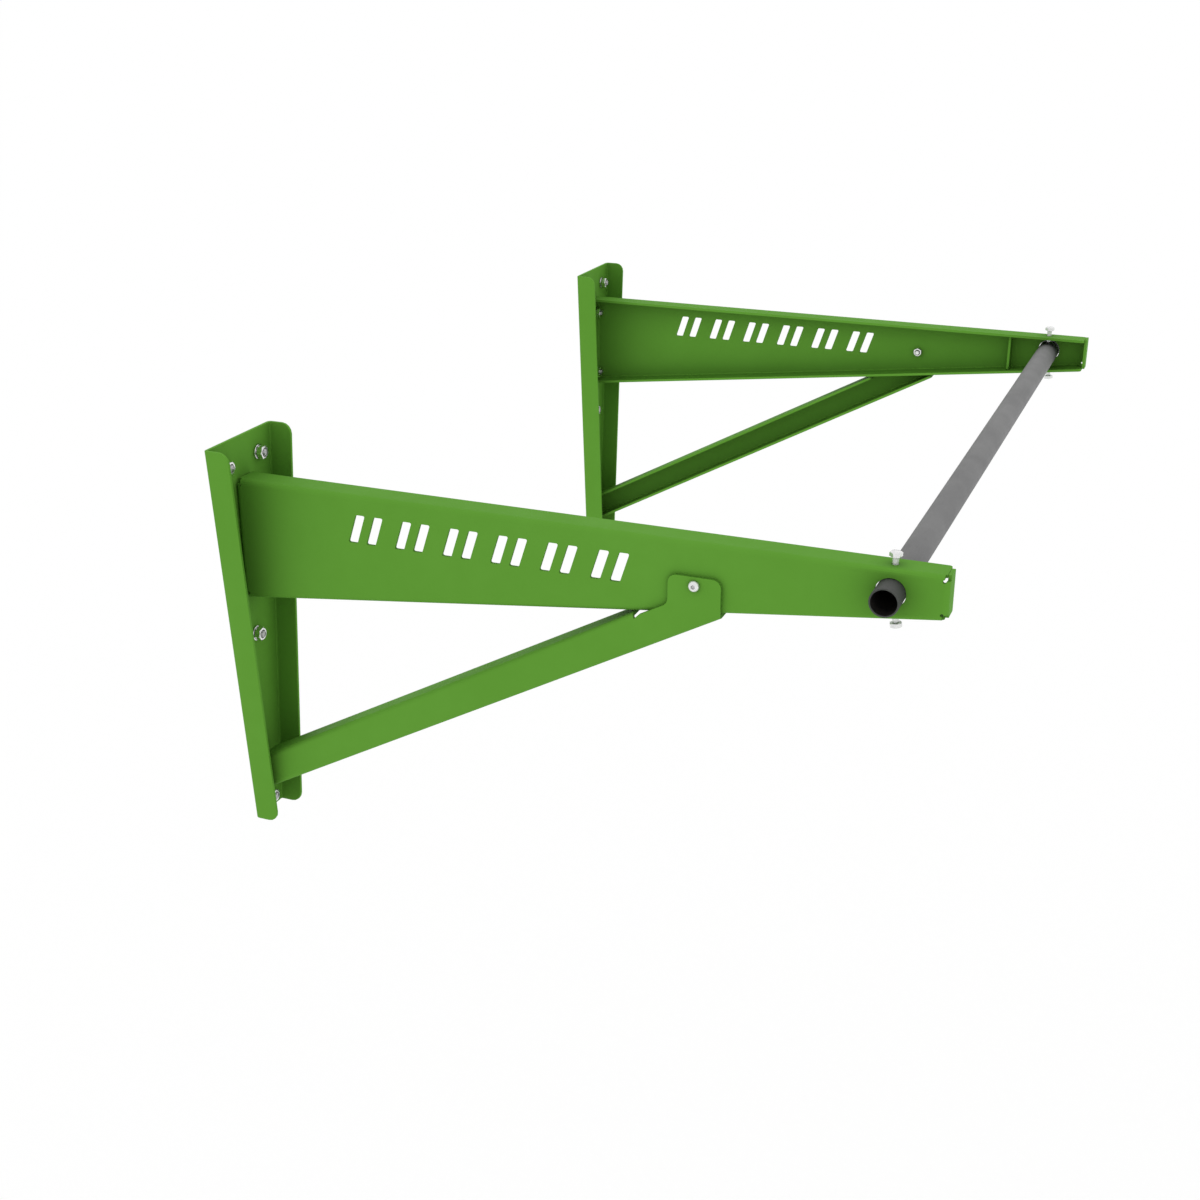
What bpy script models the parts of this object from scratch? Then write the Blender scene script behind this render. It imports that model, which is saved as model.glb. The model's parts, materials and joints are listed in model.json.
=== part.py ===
"""Wall-mounted pull up bar: two mirrored folded-sheet brackets and a steel tube clamped between them.

Metres, +Z up. The wall is the plane Y = 0, the arms reach out towards -Y and the tube lies along X.
The origin is on the left wall channel's back face, on that channel's centre line, REFERENCE_HEIGHT
above its lower edge.
"""
import math

import bmesh
import bpy
from mathutils import Matrix, Vector

# ---------------------------------------------------------------- overall sizes
BRACKET_SPACING = 1.172      # centre line to centre line of the two brackets
CHANNEL_HEIGHT = 0.530
ARM_REACH = 0.904            # wall to the outer face of the arm's end flange

# ---------------------------------------------------------------- sheet work
SHEET = 0.004
BEND_INNER_RADIUS = 0.002
BEND_RELIEF_MARGIN = 0.0005  # bend relief past the fold's outer radius
RELIEF_HOLE_RADIUS = 0.0020
GAP = 0.0003                 # between pieces that touch
FOLD_SEGMENTS = 4

CHANNEL_TOP_HALF_WIDTH = 0.0735
CHANNEL_BOTTOM_HALF_WIDTH = 0.0315
CHANNEL_DEPTH = 0.035
CHANNEL_CORNER_RADIUS = 0.014

ARM_TOP_DROP = 0.052         # channel's upper edge down to the arm's top face
ARM_ROOT_DEPTH = 0.161       # depth of the arm where its lines meet the wall plane
ARM_TIP_MARGIN = 0.0183      # depth of the arm at its outer end, beyond the tube's diameter
ARM_WEB_OFFSET = 0.018       # bracket centre line to the web's outer face
ARM_FLANGE = 0.036           # width of the two long flanges
ARM_ROOT_FLANGE = 0.034
ARM_END_FLANGE = 0.029
END_FLANGE_RISE = 0.0023     # end flange's foot above the arm's lower line
FLANGE_END_CLEARANCE = 0.0004
RIB_SETBACK = 0.0633         # tube's axis back to the middle of the rib
RIB_EDGE_SETBACK = 0.0082    # rib's free edge behind the flanges' free edges

BRACE_FOOT_RISE = 0.0135     # bottom anchor up to the brace's lower line at the wall plane
BRACE_DEPTH = 0.0440         # across the brace, square to its length
BRACE_FLANGE = 0.036
BRACE_FOOT_FLANGE = 0.034
BRACE_EDGE_SETBACK = 0.004   # bare upper edge of the web, below the folded one
BRACE_TIP_DROP = 0.0057      # tab's lower outer corner below the arm's lower line
TAB_SETBACK = 0.2872         # arm's outer end back to the middle of the tab
TAB_DROP = 0.0406            # arm's top face down to the tab's top
TAB_WIDTH = 0.064
TAB_CORNER_RADIUS = 0.010
TAB_ROOT_RADIUS = 0.006

# ---------------------------------------------------------------- slots cut through the arm web
SLOT_WIDTH = 0.013
SLOT_HEIGHT = 0.037
SLOT_SLANT = 0.012           # sideways shift from a slot's foot to its top
SLOT_STEP = 0.025            # between the two slots of a pair
SLOT_PAIR_STEP = 0.0645      # between one pair and the next
SLOT_CORNER_RADIUS = 0.0025
SLOT_BAND_START = 0.163      # wall to the room for the slots
SLOT_TAB_MARGIN = 0.0478     # room for the slots to the tab
SLOT_BAND_DROP = 0.0435      # arm's top face down to the middle of the slots

# ---------------------------------------------------------------- tube
BAR_RADIUS = 0.01685
BAR_WALL = 0.002
BAR_HOLE_CLEARANCE = 0.0008
BAR_SEGMENTS = 48
BAR_SETBACK = 0.064          # arm's outer end back to the tube's axis
BAR_TOP_MARGIN = 0.01115     # arm's top face down to the top of the tube
BAR_OVERHANG = 0.031         # tube past the arm web's outer face, each end

# ---------------------------------------------------------------- fasteners
ANCHOR_RADIUS = 0.00485      # M10 stud
ANCHOR_HOLE_CLEARANCE = 0.0006
ANCHOR_END = 0.002           # stud past the nut
WASHER_RADIUS = 0.010
WASHER_THICKNESS = 0.002
ANCHOR_NUT_FLATS = 0.016
ANCHOR_NUT_HEIGHT = 0.0084
TOP_ANCHOR_DROP = 0.031      # channel's upper edge down to the top pair
TOP_ANCHOR_OFFSET = 0.0377   # either side of the bracket's centre line
ARM_UPPER_ANCHOR_DROP = 0.028    # below the arm's top face
ARM_LOWER_ANCHOR_RISE = 0.020    # above the arm's lower line at the wall plane
MIDDLE_ANCHOR_DROP = 0.056       # below the arm's lower line at the wall plane
BOTTOM_ANCHOR_HEIGHT = 0.0205

BRACE_SCREW_RADIUS = 0.00385     # M8 button-head screw
BRACE_SCREW_CLEARANCE = 0.0005
BRACE_SCREW_DROP = 0.0106        # screw axis below the tab's top
BRACE_SCREW_END = 0.0025         # screw past its nut
BUTTON_HEAD_RADIUS = 0.0068
BUTTON_HEAD_HEIGHT = 0.0044
BUTTON_RIM_SHARE = 0.15          # of the head's height, at its rim
SOCKET_FLATS = 0.005
SOCKET_DEPTH = 0.0026
BRACE_NUT_FLATS = 0.013
BRACE_NUT_HEIGHT = 0.0068

SET_BOLT_RADIUS = 0.00385        # M8 hex bolt
SET_BOLT_CLEARANCE = 0.0004
SET_BOLT_FLATS = 0.013
SET_BOLT_HEAD_HEIGHT = 0.0053
SET_BOLT_STAND_OFF = 0.009       # flange to the underside of the head

THREAD_CHAMFER = 0.001           # at the end of every stud, screw and bolt
HEX_FACE_SHARE = 0.97            # round end face of a hexagon, across its flats
HEX_CHAMFER = math.radians(30)
ROUND_SEGMENTS = 18
RELIEF_SEGMENTS = 12
SLOT_CORNER_SEGMENTS = 3
DOME_STEPS = 4
HEX = 6
MERGE_DISTANCE = 0.00001
SMOOTH_ANGLE = math.radians(35)

# ---------------------------------------------------------------- looks
GREEN = ((0.118, 0.314, 0.042, 1.0), 0.45, 0.0)
GREY = ((0.223, 0.223, 0.223, 1.0), 0.6, 0.4)
ZINC = ((0.75, 0.75, 0.73, 1.0), 0.25, 1.0)

# ---------------------------------------------------------------- sizes that follow from those above
BEND_RADIUS = SHEET + BEND_INNER_RADIUS          # outer radius of every fold
BEND_RELIEF = BEND_RADIUS + BEND_RELIEF_MARGIN
SHEET_BACK = SHEET + GAP                         # back face of a sheet that lies on the channel's web
WEB_CUT = 4 * SHEET                              # length of a cutter through one sheet
WALL_CUT = 8 * SHEET                             # length of a cutter through both lapped sheets at the wall
SLOT_CUT = 3 * SHEET
BRACE_WEB_OFFSET = ARM_WEB_OFFSET + SHEET + GAP

ARM_TOP = CHANNEL_HEIGHT - ARM_TOP_DROP          # heights are above the channels' lower edge
ARM_ROOT_BOTTOM = ARM_TOP - ARM_ROOT_DEPTH
ARM_SLOPE = (ARM_ROOT_DEPTH - 2 * BAR_RADIUS - ARM_TIP_MARGIN) / ARM_REACH
BAR_DISTANCE = ARM_REACH - BAR_SETBACK
BAR_HEIGHT = ARM_TOP - BAR_TOP_MARGIN - BAR_RADIUS
RIB_DISTANCE = BAR_DISTANCE - RIB_SETBACK

ARM_UPPER_ANCHOR_HEIGHT = ARM_TOP - ARM_UPPER_ANCHOR_DROP
ARM_LOWER_ANCHOR_HEIGHT = ARM_ROOT_BOTTOM + ARM_LOWER_ANCHOR_RISE
MIDDLE_ANCHOR_HEIGHT = ARM_ROOT_BOTTOM - MIDDLE_ANCHOR_DROP
REFERENCE_HEIGHT = (ARM_UPPER_ANCHOR_HEIGHT + ARM_LOWER_ANCHOR_HEIGHT) / 2

TAB_MIDDLE = ARM_REACH - TAB_SETBACK
TAB_START = TAB_MIDDLE - TAB_WIDTH / 2
TAB_END = TAB_MIDDLE + TAB_WIDTH / 2
TAB_TOP = ARM_TOP - TAB_DROP
BRACE_FOOT_HEIGHT = BOTTOM_ANCHOR_HEIGHT + BRACE_FOOT_RISE
BRACE_TIP_HEIGHT = ARM_ROOT_BOTTOM + ARM_SLOPE * TAB_END - BRACE_TIP_DROP
BRACE_SLOPE = (BRACE_TIP_HEIGHT - BRACE_FOOT_HEIGHT) / TAB_END
BRACE_ANGLE = math.atan(BRACE_SLOPE)

WALL_NORMAL = Vector((0.0, -1.0, 0.0))


# ---------------------------------------------------------------- scene helpers
def clear_scene():
    for scene_object in list(bpy.data.objects):
        bpy.data.objects.remove(scene_object, do_unlink=True)


def new_collection(name):
    collection = bpy.data.collections.new(name)
    bpy.context.scene.collection.children.link(collection)
    return collection


def new_material(name, look):
    colour, roughness, metallic = look
    material = bpy.data.materials.new(name)
    material.use_nodes = True
    shader = material.node_tree.nodes["Principled BSDF"]
    shader.inputs["Base Color"].default_value = colour
    shader.inputs["Roughness"].default_value = roughness
    shader.inputs["Metallic"].default_value = metallic
    material.diffuse_color = colour
    return material


def new_object(name, mesh, look, parent=None, matrix=None):
    """One named sub-part with its own material, in the parts collection."""
    part = bpy.data.objects.new(name, mesh)
    parts.objects.link(part)
    part.parent = parent
    if matrix is not None:
        part.matrix_local = matrix
    if not mesh.materials:
        mesh.materials.append(new_material(name, look))
    return part


def new_empty(name, location):
    empty = bpy.data.objects.new(name, None)
    empty.location = location
    parts.objects.link(empty)
    return empty


def mesh_from(bm, name):
    mesh = bpy.data.meshes.new(name)
    bm.to_mesh(mesh)
    bm.free()
    return mesh


def add_cutter(name, bm, parent, matrix=None):
    cutter = bpy.data.objects.new(name, mesh_from(bm, name))
    cutters.objects.link(cutter)
    cutter.parent = parent
    if matrix is not None:
        cutter.matrix_local = matrix
    cutter.hide_render = True
    cutter.display_type = "WIRE"
    return cutter


def boolean(part, cutter, operation="DIFFERENCE"):
    modifier = part.modifiers.new(cutter.name, "BOOLEAN")
    modifier.operation = operation
    modifier.object = cutter
    modifier.solver = "EXACT"


def baked_mesh(part):
    """The object's mesh with its modifiers applied; the object itself goes."""
    bpy.context.view_layer.update()
    depsgraph = bpy.context.evaluated_depsgraph_get()
    mesh = bpy.data.meshes.new_from_object(part.evaluated_get(depsgraph))
    bpy.data.objects.remove(part, do_unlink=True)
    return mesh


def shade_smooth(mesh):
    mesh.shade_smooth()
    mesh.set_sharp_from_angle(angle=SMOOTH_ANGLE)


# ---------------------------------------------------------------- placing
def at(side, outward, distance, height):
    """A point of one bracket: outward from its centre line, away from the wall, above its lower edge."""
    return Vector((side * outward, -distance, height - REFERENCE_HEIGHT))


def arm_bottom(distance):
    return ARM_ROOT_BOTTOM + ARM_SLOPE * distance


def brace_bottom(distance):
    return BRACE_FOOT_HEIGHT + BRACE_SLOPE * distance


def brace_top(distance):
    return brace_bottom(distance) + BRACE_DEPTH / math.cos(BRACE_ANGLE)


def along(axis, origin):
    """A matrix whose Z axis runs along axis, at origin."""
    rotation = Vector(axis).to_track_quat("Z", "Y").to_matrix().to_4x4()
    return Matrix.Translation(origin) @ rotation


# ---------------------------------------------------------------- cutters and turned shapes
def rod(radius, length, segments=ROUND_SEGMENTS):
    """A closed cylinder centred on the origin, along Z."""
    bm = bmesh.new()
    bmesh.ops.create_cone(bm, cap_ends=True, segments=segments, radius1=radius, radius2=radius, depth=length)
    return bm


def hex_prism(across_flats, height):
    return rod(across_flats / 2 / math.cos(math.pi / HEX), height, HEX)


def turned(name, profile, segments, closed):
    """A profile of (radius, height) points, running down its outer side, turned about Z."""
    mesh = bpy.data.meshes.new(name)
    bm = bmesh.new()
    points = [bm.verts.new((radius, 0.0, height)) for radius, height in profile]
    ends = points + points[:1] if closed else points
    for first, second in zip(ends, ends[1:]):
        bm.edges.new((first, second))
    bm.to_mesh(mesh)
    bm.free()
    part = bpy.data.objects.new(name, mesh)
    parts.objects.link(part)
    screw = part.modifiers.new("turn", "SCREW")
    screw.axis = "Z"
    screw.steps = segments
    screw.render_steps = segments
    screw.use_merge_vertices = True
    screw.merge_threshold = MERGE_DISTANCE
    screw.use_smooth_shade = True
    return part


# ---------------------------------------------------------------- folded sheet
def fold_edge(bm, edge_ends, inward, steps, weight_layer):
    """Extrude one edge of the web into a flange. Each step is (width, extra at start, extra at end)."""
    start, end = edge_ends
    edge = bm.edges.get((start, end))
    edge[weight_layer] = 1.0
    direction = (end.co - start.co).normalized()
    base = (start.co.copy(), end.co.copy())
    for width, extra_start, extra_end in steps:
        made = bmesh.ops.extrude_edge_only(bm, edges=[edge])["geom"]
        new_verts = [item for item in made if isinstance(item, bmesh.types.BMVert)]
        new_verts.sort(key=lambda vert: (vert.co - start.co).length)
        new_verts[0].co = base[0] + inward * width - direction * extra_start
        new_verts[1].co = base[1] + inward * width + direction * extra_end
        start, end = new_verts
        edge = bm.edges.get((start, end))
        edge[weight_layer] = 0.0
    return start, end


def folded_sheet(name, outline, folds, rounded, inward, parent, look):
    """A folded plate: a flat web, a flange on each fold and the bend radius, then the sheet's thickness.

    outline: the web's corners in order, on its outer face.
    folds: (index of the fold's first corner, flange steps, radius of the flange's free corners).
    rounded: corners of the web outline to round, as {index: radius}.
    """
    bm = bmesh.new()
    edge_weight = bm.edges.layers.float.new("bevel_weight_edge")
    vert_weight = bm.verts.layers.float.new("bevel_weight_vert")
    corners = [bm.verts.new(point) for point in outline]
    web = bm.faces.new(corners)
    web.normal_update()
    if web.normal.dot(inward) > 0.0:
        web.normal_flip()
    largest = max([radius for radius in rounded.values()] + [radius for _, _, radius in folds] + [0.0])
    for index, radius in rounded.items():
        corners[index][vert_weight] = radius / largest
    for index, steps, radius in folds:
        ends = (corners[index], corners[(index + 1) % len(corners)])
        for corner in fold_edge(bm, ends, inward, steps, edge_weight):
            corner[vert_weight] = radius / largest if largest else 0.0
    bmesh.ops.recalc_face_normals(bm, faces=bm.faces)
    web.normal_update()
    if web.normal.dot(inward) > 0.0:
        bmesh.ops.reverse_faces(bm, faces=bm.faces)
    part = new_object(name, mesh_from(bm, name), look, parent)
    if largest:
        corner_bevel = part.modifiers.new("corners", "BEVEL")
        corner_bevel.affect = "VERTICES"
        corner_bevel.limit_method = "WEIGHT"
        corner_bevel.width = largest
        corner_bevel.segments = FOLD_SEGMENTS
        corner_bevel.use_clamp_overlap = False
    fold_bevel = part.modifiers.new("folds", "BEVEL")
    fold_bevel.affect = "EDGES"
    fold_bevel.limit_method = "WEIGHT"
    fold_bevel.width = BEND_RADIUS
    fold_bevel.segments = FOLD_SEGMENTS
    fold_bevel.use_clamp_overlap = False
    solidify = part.modifiers.new("sheet", "SOLIDIFY")
    solidify.thickness = SHEET
    solidify.offset = -1.0
    solidify.use_even_offset = True
    shade_smooth(part.data)
    return part


def wall_channel(side, bracket):
    """Tapered U channel: its web lies on the wall and its flanges stand off it."""
    top = CHANNEL_TOP_HALF_WIDTH
    bottom = CHANNEL_BOTTOM_HALF_WIDTH
    outline = [
        at(side, bottom, 0.0, 0.0),
        at(side, top, 0.0, CHANNEL_HEIGHT),
        at(side, -top, 0.0, CHANNEL_HEIGHT),
        at(side, -bottom, 0.0, 0.0),
    ]
    flange = [(CHANNEL_DEPTH, 0.0, 0.0)]
    folds = [(0, flange, CHANNEL_CORNER_RADIUS), (2, flange, CHANNEL_CORNER_RADIUS)]
    name = bracket.name.replace("bracket", "wall_channel")
    channel = folded_sheet(name, outline, folds, {}, WALL_NORMAL, bracket, GREEN)
    drill_anchor_holes(channel, side, bracket, anchor_places())
    return channel


def arm(side, bracket):
    """Tapered tray: a web on the outer side with long, root and end flanges folded inwards."""
    start = SHEET_BACK
    end = ARM_REACH
    notch = BEND_RELIEF
    outer = ARM_WEB_OFFSET
    outline = [
        at(side, outer, start + notch, ARM_TOP),
        at(side, outer, end - notch, ARM_TOP),
        at(side, outer, end - notch, ARM_TOP - notch),
        at(side, outer, end, ARM_TOP - notch),
        at(side, outer, end, arm_bottom(end) + notch),
        at(side, outer, end - notch, arm_bottom(end) + notch),
        at(side, outer, end - notch, arm_bottom(end - notch)),
        at(side, outer, start + notch, arm_bottom(start + notch)),
        at(side, outer, start + notch, arm_bottom(start + notch) + notch),
        at(side, outer, start, arm_bottom(start + notch) + notch),
        at(side, outer, start, ARM_TOP - notch),
        at(side, outer, start + notch, ARM_TOP - notch),
    ]
    past_bend = notch + FLANGE_END_CLEARANCE
    tip_extra = notch - SHEET - FLANGE_END_CLEARANCE
    root_extra = notch - SHEET / 2
    top_steps = [
        (notch, 0.0, 0.0),
        (past_bend, root_extra, tip_extra),
        (ARM_FLANGE, root_extra, tip_extra),
    ]
    bottom_steps = [
        (notch, 0.0, 0.0),
        (past_bend, tip_extra, root_extra),
        (ARM_FLANGE, tip_extra, root_extra),
    ]
    foot_extra = notch - END_FLANGE_RISE
    end_steps = [
        (notch, 0.0, 0.0),
        (past_bend, notch, foot_extra),
        (ARM_END_FLANGE, notch, foot_extra),
    ]
    root_steps = [(notch, 0.0, 0.0), (ARM_ROOT_FLANGE, 0.0, 0.0)]
    folds = [
        (0, top_steps, SHEET),
        (3, end_steps, SHEET / 2),
        (6, bottom_steps, SHEET),
        (9, root_steps, SHEET),
    ]
    name = bracket.name.replace("bracket", "arm")
    inward = Vector((-side, 0.0, 0.0))
    tray = folded_sheet(name, outline, folds, {}, inward, bracket, GREEN)

    cutter = add_cutter(f"{name}_bar_hole", rod(BAR_RADIUS + BAR_HOLE_CLEARANCE, WEB_CUT, BAR_SEGMENTS),
                        bracket, along((side, 0, 0), at(side, outer, BAR_DISTANCE, BAR_HEIGHT)))
    boolean(tray, cutter)
    cutter = add_cutter(f"{name}_screw_hole", rod(BRACE_SCREW_RADIUS + BRACE_SCREW_CLEARANCE, WEB_CUT),
                        bracket, along((side, 0, 0), brace_screw_place(side)))
    boolean(tray, cutter)
    for label, (origin, axis) in set_bolt_places(side).items():
        cutter = add_cutter(f"{name}_{label}_hole", rod(SET_BOLT_RADIUS + SET_BOLT_CLEARANCE, WEB_CUT),
                            bracket, along(axis, origin))
        boolean(tray, cutter)
    boolean(tray, add_cutter(f"{name}_slots", slot_cutters(side), bracket))
    drill_anchor_holes(tray, side, bracket, {key: anchor_places()[key] for key in ("arm_upper", "arm_lower")})
    for index, (distance, height) in enumerate(arm_relief_places()):
        hole = rod(RELIEF_HOLE_RADIUS, WEB_CUT, RELIEF_SEGMENTS)
        cutter = add_cutter(f"{name}_relief_{index}", hole, bracket,
                            along((side, 0, 0), at(side, outer, distance, height)))
        boolean(tray, cutter)
    return tray


def arm_relief_places():
    """Centres of the round bend reliefs, where the bend lines of the web's corners cross."""
    start = SHEET_BACK + BEND_RELIEF
    end = ARM_REACH - BEND_RELIEF
    return [
        (start, ARM_TOP - BEND_RELIEF),
        (end, ARM_TOP - BEND_RELIEF),
        (end, arm_bottom(ARM_REACH) + BEND_RELIEF),
        (start, arm_bottom(start) + BEND_RELIEF),
    ]


def slot_cutters(side):
    """Pairs of slanted slots with rounded corners, as one mesh of separate prisms."""
    bm = bmesh.new()
    room = TAB_START - SLOT_TAB_MARGIN - SLOT_BAND_START
    pair_width = SLOT_STEP + SLOT_WIDTH + SLOT_SLANT
    steps = math.floor((room - pair_width) / SLOT_PAIR_STEP)
    first = SLOT_BAND_START + (room - pair_width - steps * SLOT_PAIR_STEP) / 2
    for pair in range(steps + 1):
        for slot in range(2):
            add_slot_prism(bm, side, first + pair * SLOT_PAIR_STEP + slot * SLOT_STEP)
    bmesh.ops.recalc_face_normals(bm, faces=bm.faces)
    return bm


def add_slot_prism(bm, side, foot):
    """One slot: foot is the wall's distance from the slot's lower corner nearest to it."""
    low = ARM_TOP - SLOT_BAND_DROP - SLOT_HEIGHT / 2
    high = low + SLOT_HEIGHT
    outline = [
        (foot, low),
        (foot + SLOT_WIDTH, low),
        (foot + SLOT_WIDTH + SLOT_SLANT, high),
        (foot + SLOT_SLANT, high),
    ]
    outward = ARM_WEB_OFFSET + SHEET
    near_face = bm.faces.new([bm.verts.new(at(side, outward, *corner)) for corner in outline])
    made = bmesh.ops.extrude_face_region(bm, geom=[near_face])["geom"]
    far = [item for item in made if isinstance(item, bmesh.types.BMVert)]
    bmesh.ops.translate(bm, verts=far, vec=(-side * SLOT_CUT, 0.0, 0.0))
    corners = [edge for vert in far for edge in vert.link_edges if edge.other_vert(vert) not in far]
    bmesh.ops.bevel(bm, geom=corners, offset=SLOT_CORNER_RADIUS, segments=SLOT_CORNER_SEGMENTS,
                     profile=0.5, affect="EDGES")


def arm_rib(side, bracket):
    """Flat plate across the inside of the arm, between its web and its two long flanges."""
    low = arm_bottom(RIB_DISTANCE - SHEET / 2) + SHEET / math.cos(math.atan(ARM_SLOPE)) + 3 * GAP
    high = ARM_TOP - SHEET - GAP
    web_face = ARM_WEB_OFFSET - SHEET - GAP
    cut = BEND_RADIUS - SHEET + GAP
    free_edge = ARM_WEB_OFFSET - ARM_FLANGE + RIB_EDGE_SETBACK
    outline = [
        (web_face - cut, low),
        (web_face, low + cut),
        (web_face, high - cut),
        (web_face - cut, high),
        (free_edge, high),
        (free_edge, low),
    ]
    curve = bpy.data.curves.new("rib_outline", "CURVE")
    curve.dimensions = "2D"
    curve.fill_mode = "BOTH"
    curve.extrude = SHEET / 2
    spline = curve.splines.new("POLY")
    spline.points.add(len(outline) - 1)
    for point, (outward, height) in zip(spline.points, outline):
        point.co = (outward, height - REFERENCE_HEIGHT, 0.0, 1.0)
    spline.use_cyclic_u = True
    sketch = bpy.data.objects.new("rib_sketch", curve)
    parts.objects.link(sketch)
    mesh = baked_mesh(sketch)
    bpy.data.curves.remove(curve)
    bm = bmesh.new()
    bm.from_mesh(mesh)
    bmesh.ops.remove_doubles(bm, verts=bm.verts, dist=MERGE_DISTANCE)
    bmesh.ops.rotate(bm, verts=bm.verts, matrix=Matrix.Rotation(math.radians(90), 3, "X"))
    bmesh.ops.translate(bm, verts=bm.verts, vec=(0.0, -RIB_DISTANCE, 0.0))
    if side < 0:
        bmesh.ops.scale(bm, verts=bm.verts, vec=(-1.0, 1.0, 1.0))
    bmesh.ops.recalc_face_normals(bm, faces=bm.faces)
    bm.to_mesh(mesh)
    bm.free()
    return new_object(bracket.name.replace("bracket", "arm_rib"), mesh, GREEN, bracket)


def brace(side, bracket):
    """Sloping channel from the wall to the arm, with a tab that laps the outside of the arm's web."""
    start = SHEET_BACK
    notch = BEND_RELIEF
    outer = BRACE_WEB_OFFSET
    cosine = math.cos(BRACE_ANGLE)
    sine = math.sin(BRACE_ANGLE)
    crossing = (arm_bottom(0.0) - brace_top(0.0)) / (BRACE_SLOPE - ARM_SLOPE)
    flange_end = crossing - SHEET
    setback = BRACE_EDGE_SETBACK / cosine
    relief = (flange_end + notch * sine, brace_top(flange_end) - notch * cosine)
    relief_end = relief[0] + BEND_RADIUS
    outline = [
        at(side, outer, start + notch, brace_bottom(start + notch)),
        at(side, outer, TAB_END, brace_bottom(TAB_END)),
        at(side, outer, TAB_END, TAB_TOP),
        at(side, outer, TAB_START, TAB_TOP),
        at(side, outer, TAB_START, brace_top(TAB_START) - setback),
        at(side, outer, relief_end, brace_top(relief_end) - setback),
        at(side, outer, *relief),
        at(side, outer, flange_end, brace_top(flange_end)),
        at(side, outer, start + notch, brace_top(start + notch)),
        at(side, outer, start + notch, brace_top(start + notch) - notch / cosine - notch),
        at(side, outer, start, brace_top(start) - notch / cosine - notch),
        at(side, outer, start, brace_bottom(start) + notch / cosine + notch),
        at(side, outer, start + notch, brace_bottom(start + notch) + notch / cosine + notch),
    ]
    flange = [(BRACE_FLANGE, 0.0, 0.0)]
    folds = [
        (0, flange, SHEET),
        (7, flange, SHEET),
        (10, [(BRACE_FOOT_FLANGE, 0.0, 0.0)], SHEET),
    ]
    rounded = {2: TAB_CORNER_RADIUS, 3: TAB_CORNER_RADIUS, 4: TAB_ROOT_RADIUS}
    name = bracket.name.replace("bracket", "brace")
    inward = Vector((-side, 0.0, 0.0))
    channel = folded_sheet(name, outline, folds, rounded, inward, bracket, GREEN)
    cutter = add_cutter(f"{name}_screw_hole", rod(BRACE_SCREW_RADIUS + BRACE_SCREW_CLEARANCE, WEB_CUT),
                        bracket, along((side, 0, 0), brace_screw_place(side)))
    boolean(channel, cutter)
    drill_anchor_holes(channel, side, bracket, {"foot": anchor_places()["foot"]})
    return channel


def brace_screw_place(side):
    return at(side, ARM_WEB_OFFSET, TAB_MIDDLE, TAB_TOP - BRACE_SCREW_DROP)


# ---------------------------------------------------------------- wall anchors
def anchor_places():
    """Each anchor's (outward offset, height above the lower edge, thickness of sheet it clamps)."""
    lapped = 2 * SHEET + GAP
    nut_middle = lapped + WASHER_THICKNESS + ANCHOR_NUT_HEIGHT / 2
    foot_height = (brace_bottom(nut_middle) + brace_top(nut_middle)) / 2
    top_height = CHANNEL_HEIGHT - TOP_ANCHOR_DROP
    return {
        "top_outer": (TOP_ANCHOR_OFFSET, top_height, SHEET),
        "top_inner": (-TOP_ANCHOR_OFFSET, top_height, SHEET),
        "arm_upper": (0.0, ARM_UPPER_ANCHOR_HEIGHT, lapped),
        "arm_lower": (0.0, ARM_LOWER_ANCHOR_HEIGHT, lapped),
        "middle": (0.0, MIDDLE_ANCHOR_HEIGHT, SHEET),
        "foot": (0.0, foot_height, lapped),
        "bottom": (0.0, BOTTOM_ANCHOR_HEIGHT, SHEET),
    }


def drill_anchor_holes(part, side, bracket, places):
    radius = ANCHOR_RADIUS + ANCHOR_HOLE_CLEARANCE
    for label, (outward, height, _) in places.items():
        cutter = add_cutter(f"{part.name}_{label}_hole", rod(radius, WALL_CUT), bracket,
                            along(WALL_NORMAL, at(side, outward, 0.0, height)))
        boolean(part, cutter)


def anchors(side, bracket):
    """A stud out of the wall, a washer and a nut at each anchor place."""
    prefix = bracket.name.replace("bracket", "")
    for label, (outward, height, clamped) in anchor_places().items():
        washer_back = clamped + GAP
        nut_back = washer_back + WASHER_THICKNESS + GAP
        stud_tip = nut_back + ANCHOR_NUT_HEIGHT + ANCHOR_END
        for kind, distance in (("stud", GAP), ("washer", washer_back), ("nut", nut_back)):
            mesh = stud_mesh(stud_tip - GAP) if kind == "stud" else fasteners[kind]
            place = at(side, outward, distance, height)
            new_object(f"{prefix}{label}_{kind}", mesh, ZINC, bracket, along(WALL_NORMAL, place))


def stud_mesh(length):
    profile = [
        (0.0, length),
        (ANCHOR_RADIUS - THREAD_CHAMFER, length),
        (ANCHOR_RADIUS, length - THREAD_CHAMFER),
        (ANCHOR_RADIUS, 0.0),
        (0.0, 0.0),
    ]
    return smooth_mesh(turned("stud", profile, ROUND_SEGMENTS, False))


# ---------------------------------------------------------------- nuts, screws and bolts
def smooth_mesh(part):
    mesh = baked_mesh(part)
    shade_smooth(mesh)
    return mesh


def make_washer(radius, hole, thickness):
    profile = [(hole, thickness), (radius, thickness), (radius, 0.0), (hole, 0.0)]
    return smooth_mesh(turned("washer", profile, ROUND_SEGMENTS, True))


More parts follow.
